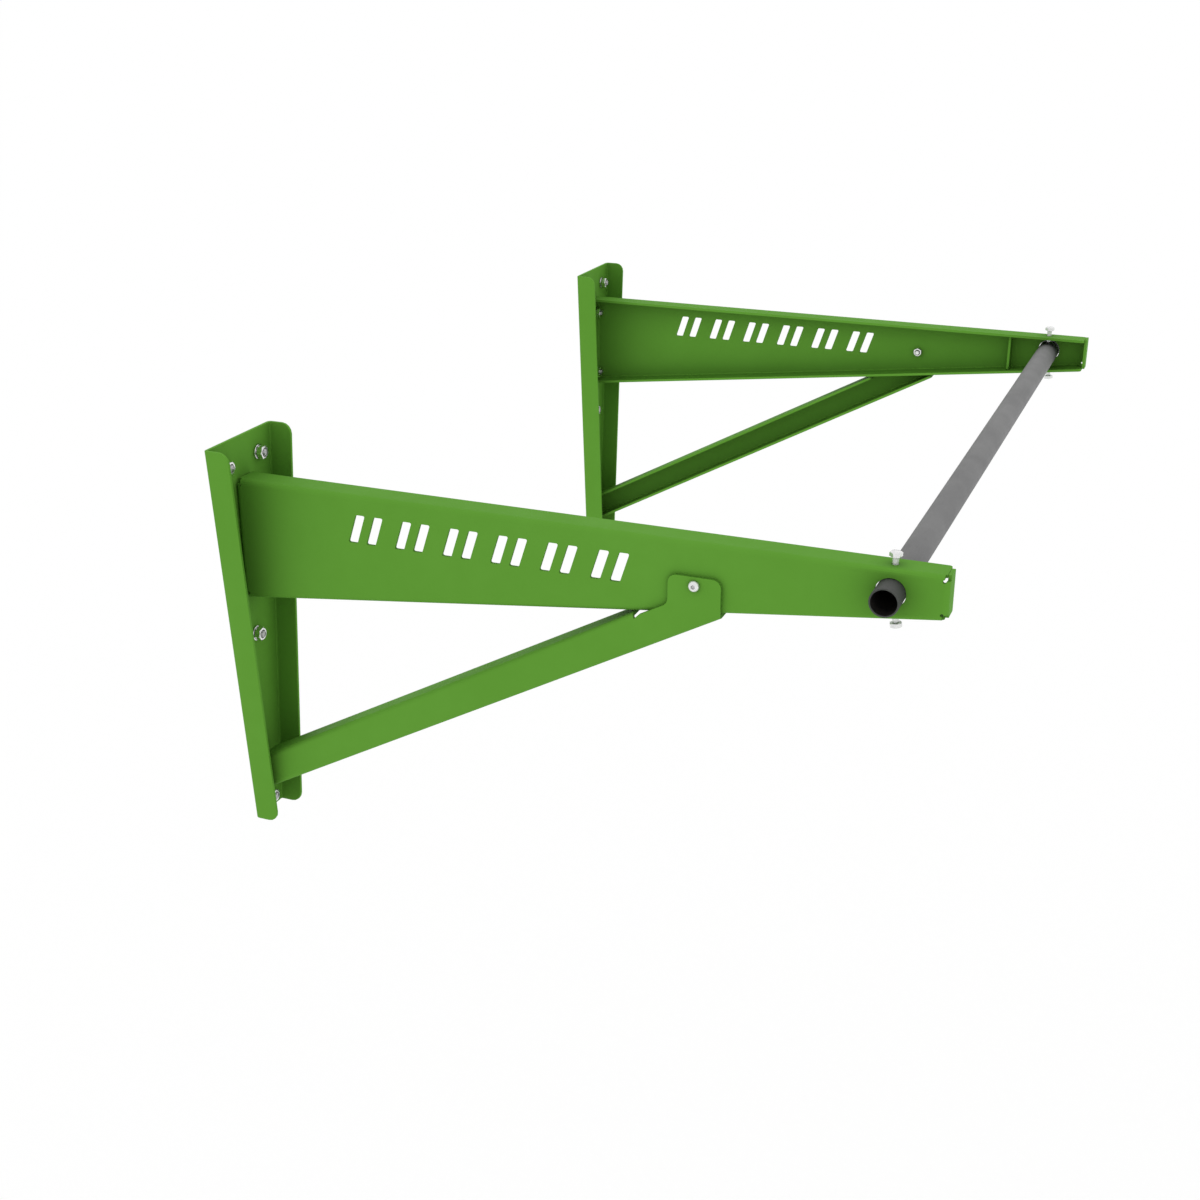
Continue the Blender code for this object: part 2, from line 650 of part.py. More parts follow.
def chamfered_hex(name, across_flats, height, both_ends):
    """A hexagon prism on the plane Z = 0 with its corners turned down at the free end or at both."""
    bm = hex_prism(across_flats, height)
    bmesh.ops.translate(bm, verts=bm.verts, vec=(0.0, 0.0, height / 2))
    part = bpy.data.objects.new(name, mesh_from(bm, name))
    parts.objects.link(part)
    corner = across_flats / 2 / math.cos(math.pi / HEX)
    face = across_flats / 2 * HEX_FACE_SHARE
    past = corner + GAP
    drop = (past - face) * math.tan(HEX_CHAMFER)
    profile = [(0.0, height), (face, height), (past, height - drop)]
    if both_ends:
        profile += [(past, drop), (face, 0.0), (0.0, 0.0)]
    else:
        profile += [(past, -GAP), (0.0, -GAP)]
    turner = baked_mesh(turned(name + "_turner", profile, ROUND_SEGMENTS, False))
    tool = bpy.data.objects.new(name + "_turner", turner)
    cutters.objects.link(tool)
    tool.hide_render = True
    tool.display_type = "WIRE"
    boolean(part, tool, "INTERSECT")
    return part


def make_nut(name, across_flats, height, bore):
    part = chamfered_hex(name, across_flats, height, True)
    boolean(part, add_cutter(name + "_bore", rod(bore, 4 * height), None))
    return smooth_mesh(part)


def make_set_bolt(name, shank_length):
    """Hexagon-head bolt along Z: the head sits on Z = 0 and the shank hangs below it."""
    part = chamfered_hex(name, SET_BOLT_FLATS, SET_BOLT_HEAD_HEIGHT, False)
    overlap = SET_BOLT_HEAD_HEIGHT / 2
    profile = [
        (0.0, overlap),
        (SET_BOLT_RADIUS, overlap),
        (SET_BOLT_RADIUS, THREAD_CHAMFER - shank_length),
        (SET_BOLT_RADIUS - THREAD_CHAMFER, -shank_length),
        (0.0, -shank_length),
    ]
    shank_mesh = baked_mesh(turned(name + "_shank", profile, ROUND_SEGMENTS, False))
    shank = bpy.data.objects.new(name + "_shank", shank_mesh)
    cutters.objects.link(shank)
    shank.hide_render = True
    shank.display_type = "WIRE"
    boolean(part, shank, "UNION")
    return smooth_mesh(part)


def make_button_screw(name, length):
    """Button-head screw along Z: the head stands on Z = 0 and the shank hangs below it."""
    profile = [(0.0, BUTTON_HEAD_HEIGHT)]
    flat = SOCKET_FLATS / 2 / math.cos(math.pi / HEX) + 2 * GAP
    for step in range(DOME_STEPS + 1):
        angle = math.radians(90) * step / DOME_STEPS
        radius = flat + (BUTTON_HEAD_RADIUS - flat) * math.sin(angle)
        height = BUTTON_HEAD_HEIGHT * (BUTTON_RIM_SHARE + (1 - BUTTON_RIM_SHARE) * math.cos(angle))
        profile.append((radius, height))
    profile += [
        (BUTTON_HEAD_RADIUS, 0.0),
        (BRACE_SCREW_RADIUS, 0.0),
        (BRACE_SCREW_RADIUS, THREAD_CHAMFER - length),
        (BRACE_SCREW_RADIUS - THREAD_CHAMFER, -length),
        (0.0, -length),
    ]
    part = turned(name, profile, ROUND_SEGMENTS, False)
    socket = add_cutter(name + "_socket", hex_prism(SOCKET_FLATS, 2 * SOCKET_DEPTH), None,
                        Matrix.Translation((0.0, 0.0, BUTTON_HEAD_HEIGHT)))
    boolean(part, socket)
    return smooth_mesh(part)


def brace_fastening(side, bracket):
    """The screw through the tab and the arm's web, and its nut inside the arm."""
    prefix = bracket.name.replace("bracket", "brace")
    place = brace_screw_place(side)
    outward = Vector((side, 0.0, 0.0))
    head = place + outward * (SHEET + 2 * GAP)
    nut = place - outward * (SHEET + GAP + BRACE_NUT_HEIGHT)
    new_object(f"{prefix}_screw", fasteners["screw"], ZINC, bracket, along(outward, head))
    new_object(f"{prefix}_nut", fasteners["screw_nut"], ZINC, bracket, along(outward, nut))


def set_bolt_places(side):
    """Each set bolt's point on the outside of its flange, and its direction out of the arm."""
    tilt = math.atan(ARM_SLOPE)
    down = Vector((0.0, -math.sin(tilt), -math.cos(tilt)))
    centre = at(side, 0.0, BAR_DISTANCE, BAR_HEIGHT)
    depth = (BAR_HEIGHT - arm_bottom(BAR_DISTANCE)) * math.cos(tilt)
    return {
        "top": (at(side, 0.0, BAR_DISTANCE, ARM_TOP), Vector((0.0, 0.0, 1.0))),
        "bottom": (centre + down * depth, down),
    }


def set_bolts(side, bracket):
    """Bolts through the two long flanges that press on the tube from above and below."""
    centre = at(side, 0.0, BAR_DISTANCE, BAR_HEIGHT)
    for label, (origin, axis) in set_bolt_places(side).items():
        flange_distance = (origin - centre).length
        shank = flange_distance + SET_BOLT_STAND_OFF - BAR_RADIUS - GAP
        name = bracket.name.replace("bracket", f"{label}_set_bolt")
        mesh = make_set_bolt(name, shank)
        head = origin + axis * SET_BOLT_STAND_OFF
        new_object(name, mesh, ZINC, bracket, along(axis, head))


# ---------------------------------------------------------------- tube
def bar():
    half = BRACKET_SPACING / 2 + ARM_WEB_OFFSET + BAR_OVERHANG
    bore = BAR_RADIUS - BAR_WALL
    profile = [(bore, half), (BAR_RADIUS, half), (BAR_RADIUS, -half), (bore, -half)]
    tube = turned("bar", profile, BAR_SEGMENTS, True)
    tube.data.materials.append(new_material("bar", GREY))
    middle = Vector((BRACKET_SPACING / 2, -BAR_DISTANCE, BAR_HEIGHT - REFERENCE_HEIGHT))
    tube.matrix_local = along((1.0, 0.0, 0.0), middle)


def make_bracket(side, name, centre):
    bracket = new_empty(name, (centre, 0.0, 0.0))
    bpy.context.view_layer.update()
    wall_channel(side, bracket)
    arm(side, bracket)
    arm_rib(side, bracket)
    brace(side, bracket)
    brace_fastening(side, bracket)
    anchors(side, bracket)
    set_bolts(side, bracket)


clear_scene()
parts = new_collection("pull_up_bar")
cutters = new_collection("cutters")
fasteners = {
    "washer": make_washer(WASHER_RADIUS, ANCHOR_RADIUS + 2 * GAP, WASHER_THICKNESS),
    "nut": make_nut("anchor_nut", ANCHOR_NUT_FLATS, ANCHOR_NUT_HEIGHT, ANCHOR_RADIUS + GAP),
    "screw_nut": make_nut("screw_nut", BRACE_NUT_FLATS, BRACE_NUT_HEIGHT, BRACE_SCREW_RADIUS + GAP),
    "screw": make_button_screw("screw", 2 * SHEET + 4 * GAP + BRACE_NUT_HEIGHT + BRACE_SCREW_END),
}
make_bracket(-1, "left_bracket", 0.0)
make_bracket(1, "right_bracket", BRACKET_SPACING)
bar()
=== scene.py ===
"""Looks of the wall-mounted pull up bar: powder-coated brackets, a grey tube and zinc-plated fasteners."""
import json
import math

import bmesh
import bpy
from mathutils import Matrix, Vector


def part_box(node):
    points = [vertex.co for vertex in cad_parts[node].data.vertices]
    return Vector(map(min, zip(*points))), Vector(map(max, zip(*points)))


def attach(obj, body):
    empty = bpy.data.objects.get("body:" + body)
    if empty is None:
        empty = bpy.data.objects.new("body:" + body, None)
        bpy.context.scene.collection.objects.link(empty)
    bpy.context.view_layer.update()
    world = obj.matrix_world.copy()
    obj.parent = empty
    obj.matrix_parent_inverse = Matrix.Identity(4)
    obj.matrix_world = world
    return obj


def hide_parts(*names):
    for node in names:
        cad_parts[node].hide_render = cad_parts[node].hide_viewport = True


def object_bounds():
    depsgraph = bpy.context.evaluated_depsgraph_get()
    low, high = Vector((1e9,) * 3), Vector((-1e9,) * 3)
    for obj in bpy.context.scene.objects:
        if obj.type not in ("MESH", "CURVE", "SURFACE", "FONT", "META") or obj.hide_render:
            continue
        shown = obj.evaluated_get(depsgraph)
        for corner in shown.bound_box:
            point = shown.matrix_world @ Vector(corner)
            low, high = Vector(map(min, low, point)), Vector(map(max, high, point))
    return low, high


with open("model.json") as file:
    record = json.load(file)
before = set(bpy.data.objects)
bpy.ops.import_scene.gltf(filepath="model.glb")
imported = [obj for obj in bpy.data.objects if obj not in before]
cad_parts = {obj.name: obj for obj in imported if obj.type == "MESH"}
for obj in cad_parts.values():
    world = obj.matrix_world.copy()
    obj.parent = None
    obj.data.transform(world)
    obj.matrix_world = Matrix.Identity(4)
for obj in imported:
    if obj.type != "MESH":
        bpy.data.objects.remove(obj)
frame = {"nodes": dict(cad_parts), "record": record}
cad_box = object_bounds()

MM = 0.001
ACROSS = Vector((1.0, 0.0, 0.0))         # along the tube
WALL_NORMAL = Vector((0.0, -1.0, 0.0))   # out of the wall, along its studs

# ---------------------------------------------------------------- sizes of the finished pieces
EDGE_ROUNDING = 0.45 * MM        # broken edges of the cut sheet, under the coat
EDGE_SEGMENTS = 2
SHEET_SMOOTH_ANGLE = math.radians(32)
WELD_DISTANCE = 0.002 * MM
FACE_WEIGHT = 100                # large flat faces settle the normals next to them

TUBE_WALL = 2.0 * MM
TUBE_LIP = 0.5 * MM              # broken edges of the tube's cut ends
LIP_INSIDE = ((0.0, 1.6), (0.3, 0.4), (1.0, 0.0))    # shares of the lip: out of the bore, back from the end
LIP_OUTSIDE = ((1.0, 0.0), (0.3, 0.3), (0.0, 1.0))   # shares of the lip: in from the skin, back from the end
LIP_TOLERANCE = 0.1              # share of the lip
TUBE_SEGMENTS = 160

HEX = 6
HEX_SECTOR = 2 * math.pi / HEX
HEX_FACE_SHARE = 0.955           # round end face of a hexagon, across its flats
HEX_CHAMFER = math.radians(28)
HEX_CHAMFER_STEPS = 4
ROUND = 48                       # points round a fastener
THREAD_STEPS = 24                # points in one turn of a thread
THREAD_ROWS = 6                  # rows of points in one pitch
RIDGE_GAIN = 1.35                # makes a ridge flat on top and its root flat below
RIDGE_SINK = 0.15

ANCHOR_PITCH = 1.5 * MM
ANCHOR_THREAD_DEPTH = 0.65 * MM
ANCHOR_THREAD_CHAMFER = 1.1 * MM
BOLT_RADIUS = 3.85 * MM
BOLT_PITCH = 1.25 * MM
BOLT_THREAD_DEPTH = 0.15 * MM
NUT_BORE_MARGIN = 0.25 * MM
COUNTERSINK = 0.8 * MM           # at both mouths of a nut's bore
WASHER_BORE_MARGIN = 0.6 * MM
WASHER_RIM = 0.35 * MM
WASHER_RIM_SHARE = 0.3           # of the rim, at the middle of its rounding

SET_BOLT_HEAD = 5.3 * MM
SET_BOLT_CHAMFER = 1.0 * MM
WASHER_FACE = 0.4 * MM           # round face under a bolt's head
WASHER_FACE_SHARE = 0.95         # of the head, across its flats

BUTTON_HEAD = 4.4 * MM
BUTTON_RIM = 0.35 * MM
BUTTON_CROWN_SHARE = 0.52        # flat top of the dome, of the head's radius
BUTTON_ROOT_SHARE = 0.9          # inner edge of the head's underside, of the shank's radius
BUTTON_SCREW_CHAMFER = 0.8 * MM
DOME_STEPS = 8
SOCKET_FLATS = 5.0 * MM
SOCKET_DEPTH = 2.6 * MM
SOCKET_POINT_SHARE = 1.25        # depth of the drilled point, of the socket's depth

RING_SMOOTH_ANGLE = math.radians(40)
NUT_SMOOTH_ANGLE = math.radians(25)
STUD_SMOOTH_ANGLE = math.radians(50)
SET_BOLT_SMOOTH_ANGLE = math.radians(30)
BUTTON_SMOOTH_ANGLE = math.radians(32)
FASTENER_TURN = math.radians(37)  # each fastener stands this much further round than the one before

# ---------------------------------------------------------------- room and view
FLOOR_DROP = 1.9                 # the part hangs high on a wall, well above the floor
FLOOR_SIZE = 300.0
FLOOR_TONE = 0.9
FLOOR_GLOW = 0.1                 # lifts the floor to white where it is seen or mirrored
CAMERA_PLACE = Vector((-1.683, -1.1753, 0.7281))
CAMERA_DIRECTION = Vector((0.85823, 0.34826, -0.37704))
CAMERA_LENS = 49.64
CAMERA_REACH = 1000.0
SENSOR = 36.0

# ---------------------------------------------------------------- finishes
HOLLOW_SAMPLES = 8
EDGE_SAMPLES = 6
# painted shade on the tube's ends where they stand out of the arms: where it starts, where it is full, its
# ragged edge, how dark
STUB_SHADE_START = 4 * MM            # before the arm's outer face
STUB_SHADE_FULL = 1 * MM             # past it
STUB_SHADE_RAGGED = 1.5 * MM
STUB_SHADE_STRENGTH = 0.66


class Nodes:
    """A short way to write a node tree."""

    def __init__(self, tree):
        self.tree = tree
        tree.nodes.clear()

    def set_input(self, socket, value):
        if isinstance(value, bpy.types.NodeSocket):
            self.tree.links.new(value, socket)
        else:
            socket.default_value = value

    def add(self, kind, values=None, **settings):
        node = self.tree.nodes.new(kind)
        for key, value in settings.items():
            setattr(node, key, value)
        for key, value in (values or {}).items():
            self.set_input(node.inputs[key], value)
        return node

    def math(self, operation, first, second=0.0, clamp=False):
        node = self.add("ShaderNodeMath", {0: first, 1: second}, operation=operation, use_clamp=clamp)
        return node.outputs[0]

    def place(self):
        return self.add("ShaderNodeTexCoord").outputs["Object"]

    def stretch(self, place, scale, rotation=(0.0, 0.0, 0.0)):
        values = {"Vector": place, "Rotation": rotation, "Scale": scale}
        return self.add("ShaderNodeMapping", values).outputs["Vector"]

    def noise(self, place, scale, detail=2.0, roughness=0.5):
        values = {"Vector": place, "Scale": scale, "Detail": detail, "Roughness": roughness}
        return self.add("ShaderNodeTexNoise", values).outputs["Fac"]

    def remap(self, value, low, high, to_low, to_high):
        values = {"Value": value, "From Min": low, "From Max": high, "To Min": to_low, "To Max": to_high}
        return self.add("ShaderNodeMapRange", values).outputs["Result"]

    def mix(self, factor, first, second):
        """The first colour where the factor is 0 and the second where it is 1."""
        node = self.add("ShaderNodeMix", data_type="RGBA")
        for identifier, value in (("Factor_Float", factor), ("A_Color", first), ("B_Color", second)):
            self.set_input(next(item for item in node.inputs if item.identifier == identifier), value)
        return next(item for item in node.outputs if item.identifier == "Result_Color")

    def bump(self, height, distance, strength):
        values = {"Height": height, "Distance": distance, "Strength": strength}
        return self.add("ShaderNodeBump", values).outputs["Normal"]

    def openness(self, distance, power):
        """1 in the open, falling towards 0 deep in a corner: the mask of painted shade that darkens colours
        in corners and hollows.
        """
        hollow = self.add("ShaderNodeAmbientOcclusion", {"Distance": distance}, samples=HOLLOW_SAMPLES)
        return self.math("POWER", hollow.outputs["AO"], power, clamp=True)

    def edges(self, radius, gain):
        """1 on an outer edge, falling to 0 within radius of it."""
        rounded = self.add("ShaderNodeBevel", {"Radius": radius}, samples=EDGE_SAMPLES).outputs["Normal"]
        flat = self.add("ShaderNodeNewGeometry").outputs["Normal"]
        dot = self.add("ShaderNodeVectorMath", {0: rounded, 1: flat}, operation="DOT_PRODUCT")
        turned = self.math("SUBTRACT", 1.0, dot.outputs["Value"], clamp=True)
        return self.math("MULTIPLY", turned, gain, clamp=True)

    def seen(self):
        """1 for a ray that comes straight from the view, or by way of a mirror or glass."""
        sight = self.add("ShaderNodeLightPath")
        seen = self.math("MAXIMUM", sight.outputs["Is Camera Ray"], sight.outputs["Is Glossy Ray"])
        return self.math("MAXIMUM", seen, sight.outputs["Is Transmission Ray"])


def rgb(red, green, blue):
    return (red, green, blue, 1.0)


def new_material(name):
    material = bpy.data.materials.new(name)
    material.use_nodes = True
    return material, Nodes(material.node_tree)


def finish_material(nodes, colour, roughness, normal, metallic=0.0, specular=0.5):
    values = {"Base Color": colour, "Roughness": roughness, "Normal": normal, "Metallic": metallic,
              "Specular IOR Level": specular}
    shader = nodes.add("ShaderNodeBsdfPrincipled", values)
    nodes.add("ShaderNodeOutputMaterial", {"Surface": shader.outputs[0]})


def powder_coat():
    """Satin green powder coat: orange peel, slight drift in colour, paler where an edge is rubbed, with
    painted shade darkening it in corners and hollows.
    """
    material, n = new_material("green_powder_coat")
    place = n.place()
    drift = n.noise(place, 6.0, 3.0)
    cloud = n.noise(place, 45.0, 4.0, 0.6)
    fleck = n.noise(place, 1400.0, 2.0)
    wear = n.noise(place, 120.0, 4.0, 0.65)
    scuff = n.noise(place, 22.0, 6.0, 0.7)
    peel = n.noise(place, 620.0, 2.0, 0.45)
    grain = n.noise(place, 2600.0, 1.0, 0.5)

    colour = n.mix(n.remap(drift, 0.35, 0.65, 0.0, 1.0), rgb(0.111, 0.314, 0.033), rgb(0.119, 0.330, 0.037))
    colour = n.mix(n.remap(cloud, 0.3, 0.7, 0.0, 0.35), colour, rgb(0.106, 0.301, 0.031))
    colour = n.mix(n.remap(fleck, 0.62, 0.78, 0.0, 0.20), colour, rgb(0.15, 0.37, 0.055))
    rubbed = n.math("MULTIPLY", n.edges(0.9 * MM, 1.6), n.remap(wear, 0.40, 0.62, 0.1, 1.0), clamp=True)
    colour = n.mix(n.math("MULTIPLY", rubbed, 0.30), colour, rgb(0.17, 0.42, 0.07))
    # painted shade: the green darkens in corners and inside the arms' trays, where the ambient occlusion is
    # low
    colour = n.mix(n.remap(n.openness(0.16, 3.0), 0.0, 1.0, 0.68, 1.0), rgb(0.0, 0.0, 0.0), colour)

    roughness = n.math("ADD", n.remap(cloud, 0.2, 0.8, 0.58, 0.66), n.remap(scuff, 0.45, 0.75, 0.0, 0.08))
    roughness = n.math("SUBTRACT", roughness, n.math("MULTIPLY", rubbed, 0.06))
    height = n.math("ADD", peel, n.math("MULTIPLY", grain, 0.25))
    finish_material(n, colour, roughness, n.bump(height, 0.035 * MM, 0.6), specular=0.05)
    return material


def tube_ends_out(n, place, mottle):
    """Mask of painted shade: 0 between the arms, rising raggedly to the shade's strength where the tube's
    ends stand out of them.
    """
    lowest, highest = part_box("bar")
    middle = (lowest[0] + highest[0]) / 2
    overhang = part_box("left_arm")[0][0] - lowest[0]
    arm_face = highest[0] - middle - overhang
    across = n.add("ShaderNodeSeparateXYZ", {"Vector": place}).outputs["X"]
    from_middle = n.math("ABSOLUTE", n.math("SUBTRACT", across, middle))
    ragged = n.math("ADD", from_middle, n.remap(mottle, 0.3, 0.7, -STUB_SHADE_RAGGED, STUB_SHADE_RAGGED))
    return n.remap(ragged, arm_face - STUB_SHADE_START, arm_face + STUB_SHADE_FULL, 0.0, STUB_SHADE_STRENGTH)


def tube_coat():
    """Matt mottled grey with lengthwise draw marks, with painted shade next to the arms and on the ends
    where they stand out of the arms.
    """
    material, n = new_material("grey_tube_coat")
    place = n.place()
    mottle = n.noise(place, 22.0, 4.0, 0.55)
    spots = n.noise(place, 260.0, 3.0, 0.6)
    marks = n.noise(n.stretch(place, (0.03, 1.0, 1.0)), 700.0, 2.0, 0.6)

    colour = n.mix(n.remap(mottle, 0.32, 0.68, 0.0, 1.0), rgb(0.176, 0.176, 0.177), rgb(0.201, 0.201, 0.201))
    colour = n.mix(n.remap(spots, 0.52, 0.72, 0.0, 0.22), colour, rgb(0.15, 0.15, 0.152))
    colour = n.mix(n.remap(marks, 0.55, 0.75, 0.0, 0.16), colour, rgb(0.26, 0.26, 0.258))
    # painted shade: the grey darkens next to the arms, where the ambient occlusion is low
    colour = n.mix(n.openness(0.12, 1.8), rgb(0.006, 0.007, 0.006), colour)
    # painted shade: the tube's ends darken where they stand out of the arms
    colour = n.mix(tube_ends_out(n, place, mottle), colour, rgb(0.012, 0.016, 0.010))
    colour = n.mix(n.math("MULTIPLY", n.edges(0.5 * MM, 1.5), 0.12), colour, rgb(0.30, 0.30, 0.295))

    roughness = n.remap(mottle, 0.2, 0.8, 0.66, 0.54)
    height = n.math("ADD", n.math("MULTIPLY", spots, 0.5), n.math("MULTIPLY", marks, 0.5))
    finish_material(n, colour, roughness, n.bump(height, 0.03 * MM, 0.6), specular=0.2)
    return material


def tube_inside():
    """The tube's bore: bare steel darkened to nearly black as painted shade of its deep inside, with a faint
    brown bloom.
    """
    material, n = new_material("dark_tube_bore")
    place = n.place()
    bloom = n.noise(place, 90.0, 5.0, 0.6)
    speck = n.noise(place, 700.0, 2.0, 0.6)

    # painted shade: the bore is nearly black for the shade deep inside the tube
    colour = n.mix(n.remap(bloom, 0.35, 0.7, 0.0, 1.0), rgb(0.010, 0.010, 0.010), rgb(0.020, 0.017, 0.015))
    colour = n.mix(n.remap(speck, 0.58, 0.75, 0.0, 0.5), colour, rgb(0.035, 0.030, 0.026))
    colour = n.mix(n.math("MULTIPLY", n.edges(0.5 * MM, 1.8), 0.35), colour, rgb(0.10, 0.10, 0.10))

    roughness = n.remap(speck, 0.3, 0.7, 0.72, 0.85)
    finish_material(n, colour, roughness, n.bump(speck, 0.04 * MM, 0.6), specular=0.08)
    return material


def tube_cut():
    """Sawn ends of the tube: dark grey with fine, brighter saw lines."""
    material, n = new_material("sawn_tube_end")
    place = n.place()
    saw = n.noise(n.stretch(place, (1.0, 0.05, 1.0)), 2200.0, 2.0, 0.6)
    bloom = n.noise(place, 160.0, 4.0, 0.6)

    colour = n.mix(n.remap(bloom, 0.35, 0.7, 0.0, 1.0), rgb(0.040, 0.046, 0.040), rgb(0.055, 0.060, 0.052))
    colour = n.mix(n.remap(saw, 0.5, 0.7, 0.0, 0.5), colour, rgb(0.10, 0.105, 0.098))

    roughness = n.remap(saw, 0.3, 0.7, 0.5, 0.7)
    finish_material(n, colour, roughness, n.bump(saw, 0.03 * MM, 0.5), metallic=0.3)
    return material


def zinc_plate(name, tone, base_roughness, metallic):
    """Zinc plate: pale metal with fine crystal drift, soft scratches and brighter worn corners."""
    material, n = new_material(name)
    place = n.place()
    bloom = n.noise(place, 260.0, 4.0, 0.6)
    scratches = n.noise(n.stretch(place, (0.08, 1.0, 1.0), (0.4, 0.9, 0.2)), 3200.0, 2.0, 0.7)

    bright = rgb(tone, tone, tone * 0.985)
    dull = rgb(tone * 0.84, tone * 0.845, tone * 0.85)
    colour = n.mix(n.remap(bloom, 0.3, 0.7, 0.0, 1.0), bright, dull)
    colour = n.mix(n.math("MULTIPLY", n.edges(0.35 * MM, 2.0), 0.35), colour, rgb(0.9, 0.9, 0.89))
    # painted shade: the plate darkens in thread roots and tight gaps, where the ambient occlusion is low
    colour = n.mix(n.remap(n.openness(0.004, 1.5), 0.0, 1.0, 0.5, 1.0), rgb(0.02, 0.02, 0.02), colour)

    roughness = n.math("ADD", n.remap(bloom, 0.25, 0.75, base_roughness, base_roughness + 0.12),
                       n.remap(scratches, 0.5, 0.8, 0.0, 0.12))
    height = n.math("ADD", bloom, n.math("MULTIPLY", scratches, 0.6))
    finish_material(n, colour, roughness, n.bump(height, 0.008 * MM, 0.5), metallic)
    return material


GREEN = powder_coat()
GREY = tube_coat()
DARK_BORE = tube_inside()
SAWN_END = tube_cut()
ZINC_BOLT = zinc_plate("zinc_plate_bolt", 0.86, 0.16, 0.7)
ZINC_NUT = zinc_plate("zinc_plate_nut", 0.86, 0.10, 1.0)
ZINC_STUD = zinc_plate("zinc_plate_stud", 0.45, 0.25, 0.9)


# ---------------------------------------------------------------- mesh helpers, all about the Z axis
def add_ring(bm, height, radius, points=ROUND):
    """Points round the axis at one height. The radius is a number or depends on the angle."""
    ring = []
    for step in range(points):
        angle = 2 * math.pi * step / points
        reach = radius(angle) if callable(radius) else radius
        ring.append(bm.verts.new((reach * math.cos(angle), reach * math.sin(angle), height)))
    return ring


def add_point(bm, height):
    return [bm.verts.new((0.0, 0.0, height))]


def join_rings(bm, first, second):
    """Faces between two rings, or between a ring and a single point."""
    count = max(len(first), len(second))
    for step in range(count):
        after = (step + 1) % count
        if len(first) == 1:
            bm.faces.new((first[0], second[step], second[after]))
        elif len(second) == 1:
            bm.faces.new((first[step], first[after], second[0]))
        else:
            bm.faces.new((first[step], first[after], second[after], second[step]))


def join_all(bm, rings):
    for first, second in zip(rings, rings[1:]):
        join_rings(bm, first, second)


def add_turned_ring(bm, profile, points):
    """A closed outline of (radius, height) points turned about the axis."""
    rings = [add_ring(bm, height, radius, points) for radius, height in profile]
    join_all(bm, rings + rings[:1])


def add_disc(bm, radius, low, high):
    join_all(bm, [add_point(bm, low), add_ring(bm, low, radius), add_ring(bm, high, radius),
                  add_point(bm, high)])


def hexagon_radius(angle, flats):
    """From the axis to a hexagon's outline, which has a flat at angle 0."""
    return flats / 2 / math.cos((angle + HEX_SECTOR / 2) % HEX_SECTOR - HEX_SECTOR / 2)


def add_hexagon(bm, flats, low, high, bore=0.0, foot_chamfer=True):
    """A hexagon between two heights, its corners turned down in a cone at the top and perhaps the foot."""
    corner = flats / 2 / math.cos(math.pi / HEX)
    face = flats / 2 * HEX_FACE_SHARE

    def outline(height, reach):
        return add_ring(bm, height, lambda angle: min(hexagon_radius(angle, flats), reach))

    def cone(level, direction):
        steps = range(HEX_CHAMFER_STEPS + 1)
        reaches = [face + (corner - face) * step / HEX_CHAMFER_STEPS for step in steps]
        slope = direction * math.tan(HEX_CHAMFER)
        return [outline(level + slope * (reach - face), reach) for reach in reaches]

    rings = cone(high, -1.0)
    rings += cone(low, 1.0)[::-1] if foot_chamfer else [outline(low, corner)]
    if bore > 0.0:
        mouth = bore + COUNTERSINK
        inside = [add_ring(bm, low, mouth), add_ring(bm, low + COUNTERSINK, bore),
                  add_ring(bm, high - COUNTERSINK, bore), add_ring(bm, high, mouth)]
        join_all(bm, rings + inside + rings[:1])
    else:
        join_all(bm, [add_point(bm, high)] + rings + [add_point(bm, low)])


def add_thread(bm, radius, depth, pitch, high, chamfer):
    """A threaded rod from height 0: one helical ridge, run out at both chamfered ends."""
    def outline(height):
        end_room = min(height, high - height)

        def reach(angle):
            phase = (height / pitch - angle / (2 * math.pi)) % 1.0
            ridge = (1.0 - abs(2.0 * phase - 1.0)) * RIDGE_GAIN - RIDGE_SINK
            ridge = min(max(ridge, 0.0), 1.0)
            return min(radius - depth * (1.0 - ridge), radius - chamfer + end_room)

        return add_ring(bm, height, reach, THREAD_STEPS)

    rows = int(high / pitch * THREAD_ROWS)
    rings = [outline(high * row / rows) for row in range(rows + 1)]
    join_all(bm, [add_point(bm, 0.0)] + rings + [add_point(bm, high)])


# ---------------------------------------------------------------- from meshes to pieces
def body_of(node):
    bodies = frame["record"]["behaviour"]["bodies"]
    return next(body for body, members in bodies.items() if node in members)


def travel_axis(node):
    joints = frame["record"]["behaviour"]["joints"]
    return next(Vector(joint["axis"]).normalized() for joint in joints if joint["child"] == body_of(node))


def take_over(piece, node):
    """The piece stands for a CAD node and moves with that node's body."""
    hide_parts(node)
    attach(piece, body_of(node))


def mesh_from(bm, name, smooth_angle):
    bmesh.ops.recalc_face_normals(bm, faces=bm.faces)
    mesh = bpy.data.meshes.new(name)
    bm.to_mesh(mesh)
    bm.free()
    mesh.shade_smooth()
    mesh.set_sharp_from_angle(angle=smooth_angle)
    return mesh


def add_piece(name, bm, smooth_angle, *materials):
    piece = bpy.data.objects.new(name, mesh_from(bm, name, smooth_angle))
    bpy.context.scene.collection.objects.link(piece)
    for material in materials:
        piece.data.materials.append(material)
    return piece


def span(node, axis):
    """Where a round piece lies: the point on its axis at its low end, and its length along the axis."""
    points = [vertex.co for vertex in frame["nodes"][node].data.vertices]
    along = [point.dot(axis) for point in points]
    corners = {tuple(round(part, 6) for part in point) for point in points}
    middle = sum((Vector(corner) for corner in corners), Vector()) / len(corners)
    return middle + axis * (min(along) - middle.dot(axis)), max(along) - min(along)


def size_along(node, axis_index):
    lowest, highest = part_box(node)
    return highest[axis_index] - lowest[axis_index]


